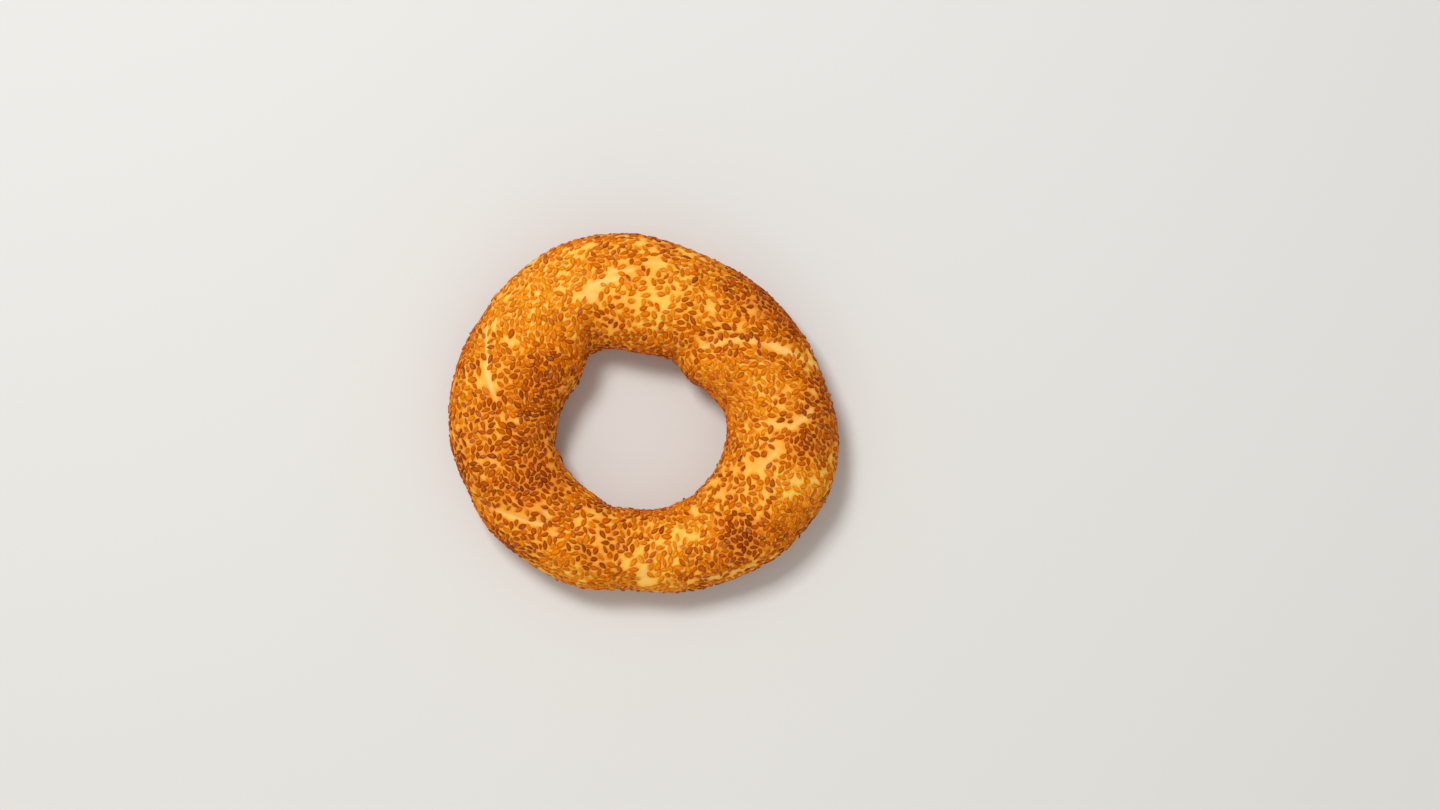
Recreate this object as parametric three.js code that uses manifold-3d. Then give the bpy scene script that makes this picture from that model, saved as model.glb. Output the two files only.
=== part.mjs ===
// A simit: a ring bread of two dough strands, twisted together six half turns, coated with sesame seeds and baked.
// It is one piece. The strands have fused in the oven, so the twist shows as six creases over the crown, and the
// seeds stand half sunk in the crust. Millimetres, +Z up. The ring lies on its flat baked underside, with its
// origin on that plane, under the middle of its outline. The widest way across is X.
//
// Two angles place a point of the crust. The ring angle goes round the hole, from +X towards +Y. The tube angle
// goes round the dough: 0 at the outer edge, 90 on the crown, 180 at the inner edge, 270 underneath.

import * as THREE from "three";
import Module from "manifold-3d";

const FULL_TURN = 360;
const HALF_TURN = 180;
const radians = THREE.MathUtils.degToRad;
const lerp = THREE.MathUtils.lerp;

// The ring as seen from above: how far the outer and inner edge lie from the origin, one every 30 degrees of
// the ring, over the crests of the twist.
const OUTER_EDGE = [71.4, 65.6, 63.1, 66.9, 69.8, 71.2, 73.2, 73.4, 70.3, 67.8, 71.1, 76.3];
const INNER_EDGE = [29.8, 21.7, 21.5, 22.6, 26.3, 26.8, 31.2, 35.8, 36.0, 36.6, 35.8, 33.9];

// The section through the dough: its height grows with its width, and its belly is widest below the middle.
const HEIGHT_AT_NO_WIDTH = 13;
const HEIGHT_PER_WIDTH = 0.5;
const BELLY_SHARE = 0.46;
const SINK_PER_BELLY = 1.18;
const BELLY_FULLNESS = 0.88;
const BASE_CORNER = 1.0;

// The creases between the strands: the ring angles where each leaves the outer edge, crosses the crown and
// reaches the inner edge, and how deep it is there. Underneath, each goes on to where the second next comes out.
const CREASES = [
  { outer: 10, crown: 36, inner: 60, depths: [2.0, 2.3, 1.8] },
  { outer: 84, crown: 108, inner: 131, depths: [1.3, 1.4, 5.4] },
  { outer: 150, crown: 177, inner: 198, depths: [2.0, 2.3, 3.0] },
  { outer: 204, crown: 230, inner: 249, depths: [1.7, 2.0, 1.4] },
  { outer: 264, crown: 279, inner: 298, depths: [1.9, 1.3, 1.4] },
  { outer: 325, crown: 340, inner: 358, depths: [1.4, 1.3, 1.0] },
];
const STRANDS = 2;
const DEPTH_UNDERNEATH = 1.4;
const CREASE_NARROWNESS = 2.8;
const FLAT_DRAW = 0.55;

// Where the two ends of the dough were joined, one end lies over the ring as a low round knob.
const KNOB = { ring: 348, tube: 66, acrossTube: 12, alongRing: 10.5, rise: 1.3 };

// Uneven swelling in the oven, as waves: height, waves round the ring, waves round the tube, start angle.
const SWELLINGS = [
  [0.35, 3, 1, 0.6],
  [0.25, 7, -2, 2.1],
  [0.18, 11, 3, 4.0],
];

// The crust's facets: steps along the ring from one crease to the next, closer beside a crease, and round the tube.
const STEPS_PER_CREASE = 16;
const STEP_CROWDING = 0.06;
const TUBE_STEPS = 21;

// Sesame seeds: flat teardrops with a low ridge, rooted in the crust. These are an even sample of the full coat.
const SEED_COUNT = 242;
const SEED_LENGTH = 3.4;
const SEED_WIDTH = 2.1;
const SEED_RISE = 0.62;
const SEED_ROOT = 0.5;
const SEED_ROOT_FLARE = 1.12;
const SEED_SIDES = 6;
const SEED_RIDGE = [-0.3, 0.2];
const SEED_TIP_TAPER = 0.4;
const SEED_SIZE_SPREAD = 0.12;
const SEED_TRIES = 24;
const GAP_TO_CREASE = 1.8;
const GAP_TO_FLOOR = 1.4;
const RANDOM_SEED = 20240611;

const CRUST_COLOUR = 0xe09a3a;
const CRUST_ROUGHNESS = 0.55;

// A seeded stream of numbers from 0 to 1.
function randomStream(seed) {
  let state = seed >>> 0;
  return () => {
    state = (state + 0x6d2b79f5) >>> 0;
    let mixed = Math.imul(state ^ (state >>> 15), state | 1);
    mixed ^= mixed + Math.imul(mixed ^ (mixed >>> 7), mixed | 61);
    return ((mixed ^ (mixed >>> 14)) >>> 0) / 2 ** 32;
  };
}

// The remainder that is never below zero.
function wrap(value, turn) {
  return ((value % turn) + turn) % turn;
}

// How far a is past b on a circle, from minus half a turn to half a turn.
function turnBetween(a, b) {
  return wrap(a - b + HALF_TURN, FULL_TURN) - HALF_TURN;
}

// The value at a ring angle of a list that goes evenly once round the ring, on a smooth closed curve.
function aroundRing(values, ring) {
  const place = (wrap(ring, FULL_TURN) / FULL_TURN) * values.length;
  const first = Math.floor(place);
  const t = place - first;
  const [a, b, c, d] = [-1, 0, 1, 2].map((shift) => values[wrap(first + shift, values.length)]);
  return b + 0.5 * t * (c - a + t * (2 * a - 5 * b + 4 * c - d + t * (3 * (b - c) + d - a)));
}

// The crease of a running number, which goes on counting from one lap of the ring to the next.
function creaseOf(number) {
  const crease = CREASES[wrap(number, CREASES.length)];
  return { ...crease, lap: Math.floor(number / CREASES.length) * FULL_TURN };
}

// The ring angle at which a crease lies, at a tube angle.
function creaseRing(number, tube) {
  const { outer, crown, inner, lap } = creaseOf(number);
  if (tube > HALF_TURN) {
    const comesOut = creaseOf(number + STRANDS);
    return lerp(lap + inner, comesOut.lap + comesOut.outer, (tube - HALF_TURN) / HALF_TURN);
  }
  const inwards = -Math.cos(radians(tube));
  return lap + crown + inwards * (inwards < 0 ? crown - outer : inner - crown);
}

// How deep a crease is, at a tube angle.
function creaseDepth(number, tube) {
  const [outer, crown, inner] = creaseOf(number).depths;
  if (tube > HALF_TURN) {
    const under = (tube - HALF_TURN) / HALF_TURN;
    const comesOut = creaseOf(number + STRANDS).depths[0];
    return lerp(lerp(inner, comesOut, under), DEPTH_UNDERNEATH, Math.sin(Math.PI * under));
  }
  const inwards = -Math.cos(radians(tube));
  return inwards < 0 ? lerp(crown, outer, -inwards) : lerp(crown, inner, inwards);
}

// How far the surface is drawn in by the creases at both sides of a strand, at a share of the way between them.
function creaseDraw(strand, share, tube) {
  const before = Math.max(0, 1 - 2 * share) ** CREASE_NARROWNESS;
  const after = Math.max(0, 2 * share - 1) ** CREASE_NARROWNESS;
  return creaseDepth(strand, tube) * before + creaseDepth(strand + 1, tube) * after;
}

// The sizes of the section at a ring angle.
function sectionAt(ring) {
  const outer = aroundRing(OUTER_EDGE, ring);
  const inner = aroundRing(INNER_EDGE, ring);
  const height = HEIGHT_AT_NO_WIDTH + HEIGHT_PER_WIDTH * (outer - inner);
  return { middle: (outer + inner) / 2, halfWidth: (outer - inner) / 2, height, belly: BELLY_SHARE * height };
}

// How far the knob at the join stands out.
function knobRise(ring, tube, section) {
  const along = radians(turnBetween(ring, KNOB.ring)) * section.middle;
  const across = radians(turnBetween(tube, KNOB.tube)) * section.halfWidth;
  const away = (along / KNOB.alongRing) ** 2 + (across / KNOB.acrossTube) ** 2;
  return KNOB.rise * Math.max(0, 1 - away);
}

// How far the oven's uneven swelling stands out.
function swellingAt(ring, tube) {
  return SWELLINGS.reduce(
    (sum, [size, rings, tubes, start]) =>
      sum + size * Math.sin(rings * radians(ring) + tubes * radians(tube) + start),
    0,
  );
}

// Nothing below the floor, the height itself well above it, and a soft corner between.
function restOnFloor(height) {
  if (height <= -BASE_CORNER) return 0;
  return height >= BASE_CORNER ? height : (height + BASE_CORNER) ** 2 / (4 * BASE_CORNER);
}

// A point of the bare crust, on the strand after a crease, at a share of the way to the next one.
function crustPoint(strand, share, tube) {
  const ring = lerp(creaseRing(strand, tube), creaseRing(strand + 1, tube), share);
  const section = sectionAt(ring);
  const [across, up] = [Math.cos(radians(tube)), Math.sin(radians(tube))];
  const draw = creaseDraw(strand, share, tube);
  const out = swellingAt(ring, tube) + knobRise(ring, tube, section) - draw;
  const wide = up < 0 ? Math.sign(across) * Math.abs(across) ** BELLY_FULLNESS : across;
  const tall = up < 0 ? section.belly * SINK_PER_BELLY : section.height - section.belly;
  const radius = section.middle + section.halfWidth * wide + out * across;
  const height = restOnFloor(section.belly + tall * up + out * up);
  const groove = up < 0 ? Math.max(0, draw - FLAT_DRAW) * up * up : 0;
  return new THREE.Vector3(
    radius * Math.cos(radians(ring)),
    radius * Math.sin(radians(ring)),
    Math.max(height, groove),
  );
}

// The bare crust, as a grid whose lines follow the creases. Once round the tube, a strand has gone on by two.
function crustGeometry() {
  const around = CREASES.length * STEPS_PER_CREASE;
  const corner = (i, j) => {
    const lap = Math.floor(j / TUBE_STEPS);
    return wrap(i + lap * STRANDS * STEPS_PER_CREASE, around) * TUBE_STEPS + wrap(j, TUBE_STEPS);
  };
  const points = [];
  const triangles = [];
  for (let i = 0; i < around; i++) {
    const step = (i % STEPS_PER_CREASE) / STEPS_PER_CREASE;
    const share = step - STEP_CROWDING * Math.sin(2 * Math.PI * step);
    for (let j = 0; j < TUBE_STEPS; j++) {
      const tube = (j / TUBE_STEPS) * FULL_TURN;
      points.push(...crustPoint(Math.floor(i / STEPS_PER_CREASE), share, tube).toArray());
      const [a, b, c, d] = [corner(i, j), corner(i + 1, j), corner(i + 1, j + 1), corner(i, j + 1)];
      triangles.push(a, b, c, a, c, d);
    }
  }
  const geometry = new THREE.BufferGeometry();
  geometry.setAttribute("position", new THREE.Float32BufferAttribute(points, 3));
  geometry.setIndex(triangles);
  return geometry;
}

// A random place on the crust, with the way along the ring and the way out of the crust there.
function randomPlace(random) {
  const [strand, share, tube] = [Math.floor(random() * CREASES.length), random(), random() * FULL_TURN];
  const [shareStep, tubeStep] = [0.01, 1];
  const here = crustPoint(strand, share, tube);
  const along = crustPoint(strand, share + shareStep, tube).sub(crustPoint(strand, share - shareStep, tube));
  const round = crustPoint(strand, share, tube + tubeStep).sub(crustPoint(strand, share, tube - tubeStep));
  const normal = along.clone().cross(round).normalize();
  const creases = [strand, strand + 1].map((number) => creaseRing(number, tube));
  const gap = Math.min(share, 1 - share) * radians(creases[1] - creases[0]) * Math.hypot(here.x, here.y);
  return { here, along: along.normalize(), normal, gap };
}

// Where the seeds lie: each is the one of a few random tries that is furthest from those already there.
function seedPlaces() {
  const random = randomStream(RANDOM_SEED);
  const places = [];
  while (places.length < SEED_COUNT) {
    let best = { room: 0 };
    for (let tries = 0; tries < SEED_TRIES; tries++) {
      const place = randomPlace(random);
      const free = place.gap > GAP_TO_CREASE && place.here.z > GAP_TO_FLOOR;
      const room = places.reduce((least, other) => Math.min(least, other.here.distanceTo(place.here)), Infinity);
      if (free && room > best.room) best = { ...place, room };
    }
    const size = 1 + SEED_SIZE_SPREAD * (2 * random() - 1);
    places.push({ ...best, size, turn: random() * 2 * Math.PI });
  }
  return places;
}

const wasm = await Module();
wasm.setup();

// One seed along X, its tip at +X and the crust's surface at height zero.
function seedSolid() {
  const points = SEED_RIDGE.map((share) => [share * SEED_LENGTH, 0, SEED_RISE]);
  for (let side = 0; side < SEED_SIDES; side++) {
    const angle = radians((side / SEED_SIDES) * FULL_TURN);
    const taper = 1 - SEED_TIP_TAPER * Math.cos(angle);
    const [x, y] = [0.5 * SEED_LENGTH * Math.cos(angle), 0.5 * SEED_WIDTH * taper * Math.sin(angle)];
    points.push([x * SEED_ROOT_FLARE, y * SEED_ROOT_FLARE, -SEED_ROOT]);
  }
  return wasm.Manifold.hull(points);
}

// The seed laid on the crust at its place.
function laidSeed(seed, { here, along, normal, turn, size }) {
  const axis = along.clone().applyAxisAngle(normal, turn);
  const lie = new THREE.Matrix4().makeBasis(axis, normal.clone().cross(axis), normal);
  lie.scale(new THREE.Vector3(size, size, size));
  lie.setPosition(here);
  return seed.transform(lie.elements);
}

// A three.js geometry as a solid that can be joined.
function solidOf(geometry) {
  const vertProperties = Float32Array.from(geometry.getAttribute("position").array);
  const triVerts = Uint32Array.from(geometry.index.array);
  return new wasm.Manifold(new wasm.Mesh({ numProp: 3, vertProperties, triVerts }));
}

// The biggest piece of a solid, without loose scraps and with any closed hollow filled.
function biggestPiece(solid) {
  return solid.decompose().reduce((biggest, piece) => (piece.volume() > biggest.volume() ? piece : biggest));
}

// A joined solid as a three.js geometry.
function geometryOf(solid) {
  const { vertProperties, triVerts } = solid.getMesh();
  const geometry = new THREE.BufferGeometry();
  geometry.setAttribute("position", new THREE.BufferAttribute(Float32Array.from(vertProperties), 3));
  geometry.setIndex(new THREE.BufferAttribute(Uint32Array.from(triVerts), 1));
  geometry.computeVertexNormals();
  return geometry;
}

const seed = seedSolid();
const laidSeeds = seedPlaces().map((place) => laidSeed(seed, place));
const coated = biggestPiece(wasm.Manifold.union([solidOf(crustGeometry()), ...laidSeeds]));

const crust = new THREE.MeshStandardMaterial({ color: CRUST_COLOUR, roughness: CRUST_ROUGHNESS, metalness: 0 });
const simit = new THREE.Mesh(geometryOf(coated), crust);
simit.name = "simit";

const part = new THREE.Group();
part.add(simit);

export default part;
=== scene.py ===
"""Dresses the simit: a ring of two twisted strands of dough, baked golden brown under a close coat of sesame.

The bare crust is made from the same named sizes as the solid: the outline seen from above, the section
through the dough and the six creases between the strands. Some five thousand sesame seeds are laid on it by
a seeded rule, pushed apart until they fit side by side, and sorted by how brown they are, which is mostly the
oven's browning and in places painted light and shade. Two kinds of node tree finish the shapes: one sets the
seeds out and makes them real mesh, the other draws the dough up between them.

Two angles place a point of the crust. The ring angle goes round the hole, from +X towards +Y. The tube
angle goes round the dough: 0 at the outer edge, 90 on the crown, 180 at the inner edge, 270 underneath. A
strand number counts on from one crease to the next, and its fraction is how far between the two a point
lies.
"""

from __future__ import annotations

import logging
import math
from dataclasses import dataclass, field, fields
from enum import Enum

import bpy
import numpy as np
from mathutils import Matrix, Vector, noise
from mathutils.kdtree import KDTree

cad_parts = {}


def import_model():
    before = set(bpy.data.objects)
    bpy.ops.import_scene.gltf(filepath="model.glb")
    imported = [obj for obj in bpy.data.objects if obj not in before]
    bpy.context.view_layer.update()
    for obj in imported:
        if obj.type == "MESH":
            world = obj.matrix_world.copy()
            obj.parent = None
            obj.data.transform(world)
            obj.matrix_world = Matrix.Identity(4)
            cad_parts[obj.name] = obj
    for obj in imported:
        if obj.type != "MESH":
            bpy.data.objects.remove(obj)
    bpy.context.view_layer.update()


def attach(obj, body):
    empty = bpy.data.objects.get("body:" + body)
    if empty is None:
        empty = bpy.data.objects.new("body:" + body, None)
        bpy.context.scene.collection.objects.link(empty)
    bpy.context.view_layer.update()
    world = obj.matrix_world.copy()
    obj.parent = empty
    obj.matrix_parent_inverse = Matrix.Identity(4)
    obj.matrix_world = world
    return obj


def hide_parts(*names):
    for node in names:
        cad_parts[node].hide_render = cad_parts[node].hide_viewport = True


log = logging.getLogger("simit")

MM = 0.001
FULL_TURN = 360.0
HALF_TURN = 180.0
CAD_NODE = "simit"
BODY = "root"
BAKE_UV = "OFBake"
TOAST_AND_LIGHT = "toast"
PALE = "pale"
LIE = "lie"
SIZE = "size"
TONE = "tone"
CELL = "cell"
RIM_AND_SHADE = "rim"
HUE = "hue"
GLAZE_AND_SHADE = "glaze"
WEB_HIGHLIGHT = "open"

# Types of node that are used often, and the sockets of a Mix node that mixes colours.
MATHS = "ShaderNodeMath"
VECTOR_MATHS = "ShaderNodeVectorMath"
READ = "GeometryNodeInputNamedAttribute"
STORE = "GeometryNodeStoreNamedAttribute"
MIX_SHARE = 0
MIX_UNDER = 6
MIX_OVER = 7
MIXED = 2

# The sRGB curve, and a value so small that it only keeps a division from failing.
SRGB_KNEE = 0.04045
SRGB_SLOPE = 12.92
SRGB_OFFSET = 0.055
SRGB_POWER = 2.4
TINY = 1e-12


class Toasting(Enum):
    """How brown a seed is, least to most: the oven's browning, with painted light and shade in places."""

    GOLDEN = 0
    AMBER = 1
    BROWN = 2
    DARK = 3


# Numbers and colours.


def linear_colour(hex_code: str) -> tuple[float, float, float, float]:
    """A colour in linear light.

    Args:
        hex_code: the sRGB colour, as "#rrggbb".

    Returns:
        Red, green, blue and alpha.
    """
    channels = [int(hex_code[start:start + 2], 16) / 255.0 for start in (1, 3, 5)]
    linear = [
        c / SRGB_SLOPE if c <= SRGB_KNEE else ((c + SRGB_OFFSET) / (1.0 + SRGB_OFFSET)) ** SRGB_POWER
        for c in channels
    ]
    return (*linear, 1.0)


def smooth_step(value: np.ndarray, low: float, high: float) -> np.ndarray:
    """A soft step from 0 to 1.

    Args:
        value: where to read it.
        low: where it leaves 0.
        high: where it reaches 1.

    Returns:
        The step's height at each value.
    """
    share = np.clip((value - low) / (high - low), 0.0, 1.0)
    return share * share * (3.0 - 2.0 * share)


def turn_between(a: np.ndarray, b: float) -> np.ndarray:
    """How far a is past b on a circle, in degrees from -180 to 180."""
    return np.mod(a - b + HALF_TURN, FULL_TURN) - HALF_TURN


def unit(vectors: np.ndarray) -> np.ndarray:
    """The vectors at length one."""
    return vectors / np.maximum(np.linalg.norm(vectors, axis=-1, keepdims=True), TINY)


def soft_noise(points: np.ndarray, grain: float, shift: float) -> np.ndarray:
    """Smooth random hills that are the same on every run.

    Args:
        points: where to read them, in metres.
        grain: how far apart the hills lie, in metres.
        shift: a number that picks one set of hills from many.

    Returns:
        A height from -1 to 1 at each point.
    """
    return np.array([noise.noise(Vector(p) / grain + Vector((shift, -shift, 2.0 * shift))) for p in points])


# The bare crust.


@dataclass(frozen=True)
class Crease:
    """One crease between the strands: the ring angles where it lies on three lines, and how deep it is there.

    Underneath, it goes on from the inner edge to where the second next crease leaves the outer edge.
    """

    outer: float
    crown: float
    inner: float
    outer_depth: float
    crown_depth: float
    inner_depth: float


@dataclass(frozen=True)
class Knob:
    """The low round knob where one end of the dough lies over the other, at the join."""

    ring: float = 348.0
    tube: float = 66.0
    across_tube: float = 12.0 * MM
    along_ring: float = 10.5 * MM
    rise: float = 1.3 * MM


@dataclass
class RingForm:
    """The shape of the bare crust, and where on it anything lies."""

    # The radius of each edge as seen from above, in millimetres, every 30 degrees from ring angle 0.
    outer_edge: tuple[float, ...] = (71.4, 65.6, 63.1, 66.9, 69.8, 71.2, 73.2, 73.4, 70.3, 67.8, 71.1, 76.3)
    inner_edge: tuple[float, ...] = (29.8, 21.7, 21.5, 22.6, 26.3, 26.8, 31.2, 35.8, 36.0, 36.6, 35.8, 33.9)
    creases: tuple[Crease, ...] = (
        Crease(10, 36, 60, 2.0 * MM, 2.3 * MM, 1.8 * MM),
        Crease(84, 108, 131, 1.3 * MM, 1.4 * MM, 5.4 * MM),
        Crease(150, 177, 198, 2.0 * MM, 2.3 * MM, 3.0 * MM),
        Crease(204, 230, 249, 1.7 * MM, 2.0 * MM, 1.4 * MM),
        Crease(264, 279, 298, 1.9 * MM, 1.3 * MM, 1.4 * MM),
        Crease(325, 340, 358, 1.4 * MM, 1.3 * MM, 1.0 * MM),
    )
    knob: Knob = field(default_factory=Knob)

    # Each is its height, how many waves it makes round the ring and round the tube, and where they start.
    swellings: tuple[tuple[float, int, int, float], ...] = (
        (0.35 * MM, 3, 1, 0.6),
        (0.25 * MM, 7, -2, 2.1),
        (0.18 * MM, 11, 3, 4.0),
    )
    strands: int = 2
    height_at_no_width: float = 13.0 * MM
    height_per_width: float = 0.5
    belly_share: float = 0.46
    sink_per_belly: float = 1.18
    belly_fullness: float = 0.88
    base_corner: float = 1.0 * MM
    base_lift: float = 0.28 * MM
    depth_underneath: float = 1.4 * MM
    crease_narrowness: float = 2.8
    crease_softness: float = 0.05
    flat_draw: float = 0.55 * MM
    strand_step: float = 0.004
    tube_step: float = 0.5

    @property
    def crease_count(self) -> int:
        """How many creases there are round the ring."""
        return len(self.creases)

    def over_creases(self, *names: str) -> tuple[np.ndarray, ...]:
        """Some of the creases' fields, as one array for each field."""
        return tuple(np.array([getattr(crease, name) for crease in self.creases]) for name in names)

    def around(self, values: tuple[float, ...], ring: np.ndarray) -> np.ndarray:
        """Reads a list of millimetres that goes evenly once round the ring, on a smooth closed curve.

        Args:
            values: the list, from ring angle 0.
            ring: ring angles in degrees.

        Returns:
            The curve's value at each angle, in metres.
        """
        listed = np.array(values) * MM
        place = np.mod(ring, FULL_TURN) / FULL_TURN * len(listed)
        first = np.floor(place).astype(int)
        t = place - first
        a, b, c, d = (listed[(first + shift) % len(listed)] for shift in (-1, 0, 1, 2))
        return b + 0.5 * t * (c - a + t * (2 * a - 5 * b + 4 * c - d + t * (3 * (b - c) + d - a)))

    def crease_ring(self, number: np.ndarray, tube: np.ndarray) -> np.ndarray:
        """The ring angle at which a crease lies.

        Args:
            number: the crease's whole number, which counts on from lap to lap.
            tube: tube angles in degrees, from 0 to 360.

        Returns:
            Ring angles in degrees, which count on from lap to lap.
        """
        outer, crown, inner = self.over_creases("outer", "crown", "inner")
        lap, index = np.divmod(number, self.crease_count)
        next_lap, next_index = np.divmod(number + self.strands, self.crease_count)
        inwards = -np.cos(np.radians(tube))
        reach = np.where(inwards < 0, crown[index] - outer[index], inner[index] - crown[index])
        over = lap * FULL_TURN + crown[index] + inwards * reach
        start = lap * FULL_TURN + inner[index]
        comes_out = next_lap * FULL_TURN + outer[next_index]
        under = start + (tube - HALF_TURN) / HALF_TURN * (comes_out - start)
        return np.where(tube > HALF_TURN, under, over)

    def crease_depth(self, number: np.ndarray, tube: np.ndarray) -> np.ndarray:
        """How deep a crease is.

        Args:
            number: the crease's whole number.
            tube: tube angles in degrees, from 0 to 360.

        Returns:
            Depths in metres.
        """
        outer, crown, inner = self.over_creases("outer_depth", "crown_depth", "inner_depth")
        index = number % self.crease_count
        next_index = (number + self.strands) % self.crease_count
        inwards = -np.cos(np.radians(tube))
        edge = np.where(inwards < 0, outer[index], inner[index])
        over = crown[index] + np.abs(inwards) * (edge - crown[index])
        share = np.clip((tube - HALF_TURN) / HALF_TURN, 0.0, 1.0)
        ends = inner[index] + share * (outer[next_index] - inner[index])
        under = ends + np.sin(np.pi * share) * (self.depth_underneath - ends)
        return np.where(tube > HALF_TURN, under, over)

    def crease_draw(self, strand: np.ndarray, tube: np.ndarray) -> np.ndarray:
        """How far the creases on both sides draw the surface in.

        Args:
            strand: strand numbers with their fractions.
            tube: tube angles in degrees, from 0 to 360.

        Returns:
            Depths in metres.
        """
        number = np.floor(strand).astype(int)
        share = strand - number
        before = np.clip(1.0 - np.hypot(2.0 * share, self.crease_softness), 0.0, 1.0)
        after = np.clip(1.0 - np.hypot(2.0 * (1.0 - share), self.crease_softness), 0.0, 1.0)
        near = self.crease_depth(number, tube) * before ** self.crease_narrowness
        return near + self.crease_depth(number + 1, tube) * after ** self.crease_narrowness

    def ring_angle(self, strand: np.ndarray, tube: np.ndarray) -> np.ndarray:
        """The ring angle of points of the crust.

        Args:
            strand: strand numbers with their fractions.
            tube: tube angles in degrees, from 0 to 360.

        Returns:
            Ring angles in degrees, which count on from lap to lap.
        """
        number = np.floor(strand).astype(int)
        start = self.crease_ring(number, tube)
        return start + (strand - number) * (self.crease_ring(number + 1, tube) - start)

    def section(self, ring: np.ndarray) -> tuple[np.ndarray, np.ndarray]:
        """The dough's width as seen from above.

        Args:
            ring: ring angles in degrees.

        Returns:
            The radius of the middle between both edges and half of the width there, in metres.
        """
        outer = self.around(self.outer_edge, ring)
        inner = self.around(self.inner_edge, ring)
        return (outer + inner) / 2.0, (outer - inner) / 2.0

    def knob_distance(self, ring: np.ndarray, tube: np.ndarray) -> np.ndarray:
        """How far a point is from the knob's middle, 1 being the knob's edge.

        Args:
            ring: ring angles in degrees.
            tube: tube angles in degrees.

        Returns:
            The distance at each point.
        """
        middle, half_width = self.section(ring)
        along = np.radians(turn_between(ring, self.knob.ring)) * middle / self.knob.along_ring
        across = np.radians(turn_between(tube, self.knob.tube)) * half_width / self.knob.across_tube
        return np.hypot(along, across)

    def tidy(self, strand: np.ndarray, tube: np.ndarray) -> tuple[np.ndarray, np.ndarray]:
        """Brings tube angles back to 0 to 360. Once round the tube, a strand has gone on by two."""
        turns = np.floor(tube / FULL_TURN)
        return np.mod(strand + turns * self.strands, self.crease_count), tube - turns * FULL_TURN

    def point(self, strand: np.ndarray, tube: np.ndarray) -> np.ndarray:
        """Points of the bare crust.

        Args:
            strand: strand numbers with their fractions.
            tube: tube angles in degrees.

        Returns:
            One row of x, y and z in metres for each.
        """
        strand, tube = self.tidy(strand, tube)
        ring = self.ring_angle(strand, tube)
        middle, half_width = self.section(ring)
        height = self.height_at_no_width + self.height_per_width * 2.0 * half_width
        belly = self.belly_share * height
        across, up = np.cos(np.radians(tube)), np.sin(np.radians(tube))
        draw = self.crease_draw(strand, tube)
        out = self.knob.rise * np.clip(1.0 - self.knob_distance(ring, tube) ** 2, 0.0, 1.0) - draw
        for size, rings, tubes, start in self.swellings:
            out = out + size * np.sin(rings * np.radians(ring) + tubes * np.radians(tube) + start)
        wide = np.where(up < 0, np.sign(across) * np.abs(across) ** self.belly_fullness, across)
        tall = np.where(up < 0, belly * self.sink_per_belly, height - belly)
        radius = middle + half_width * wide + out * across
        free = belly + tall * up + out * up
        corner = (np.clip(free, -self.base_corner, None) + self.base_corner) ** 2 / (4.0 * self.base_corner)
        rested = np.where(free >= self.base_corner, free, corner)
        groove = np.where(up < 0, np.clip(draw - self.flat_draw, 0.0, None) * up * up, 0.0)
        level = np.maximum(np.maximum(rested, groove), self.base_lift)
        angle = np.radians(ring)
        return np.stack([radius * np.cos(angle), radius * np.sin(angle), level], axis=-1)

    def ways(self, strand: np.ndarray, tube: np.ndarray) -> tuple[np.ndarray, np.ndarray, np.ndarray]:
        """How the crust runs at its points.

        Args:
            strand: strand numbers with their fractions.
            tube: tube angles in degrees.

        Returns:
            The move for one whole strand, the move for one degree of the tube, and the way out of the crust.
        """
        step, turn = self.strand_step, self.tube_step
        along = self.point(strand + step, tube) - self.point(strand - step, tube)
        around = self.point(strand, tube + turn) - self.point(strand, tube - turn)
        return along / (2 * step), around / (2 * turn), unit(np.cross(along, around))

    def seen_from_above(self, ring: float, radius: float) -> tuple[float, float]:
        """The strand number and tube angle of a point of the crown.

        Args:
            ring: its ring angle in degrees.
            radius: its distance from the hole's axis, in millimetres.

        Returns:
            The strand number and the tube angle.
        """
        middle, half_width = self.section(np.array([ring]))
        share = np.clip((radius * MM - middle[0]) / half_width[0], -1.0, 1.0)
        tube = math.degrees(math.acos(share))
        numbers = np.arange(-self.crease_count, 2 * self.crease_count)
        lines = self.crease_ring(numbers, np.full(len(numbers), tube))
        last = int(np.searchsorted(lines, ring, side="right")) - 1
        strand = numbers[last] + (ring - lines[last]) / (lines[last + 1] - lines[last])
        return float(strand), tube


# What the oven and the baker did to the crust.


@dataclass(frozen=True)
class BrowningAndLightPatch:
    """A patch that is browner, or with a negative strength paler, as seen from above.

    Most stand for the oven's browning; some are painted light and shade. Its middle is a ring angle in
    degrees and a radius in millimetres, and its reach is in millimetres.
    """

    ring: float
    radius: float
    reach: float
    strength: float


@dataclass(frozen=True)
class BareStrip:
    """A strip without seeds, as seen from above.

    The more the dough stretched and tore its coat apart there, the paler it is. Where seeds only missed
    it, it stays golden. Each end is a ring angle in degrees and a radius in millimetres, and the width is in
    millimetres.
    """

    start: tuple[float, float]
    end: tuple[float, float]
    width: float
    paleness: float
    bareness: float


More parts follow.
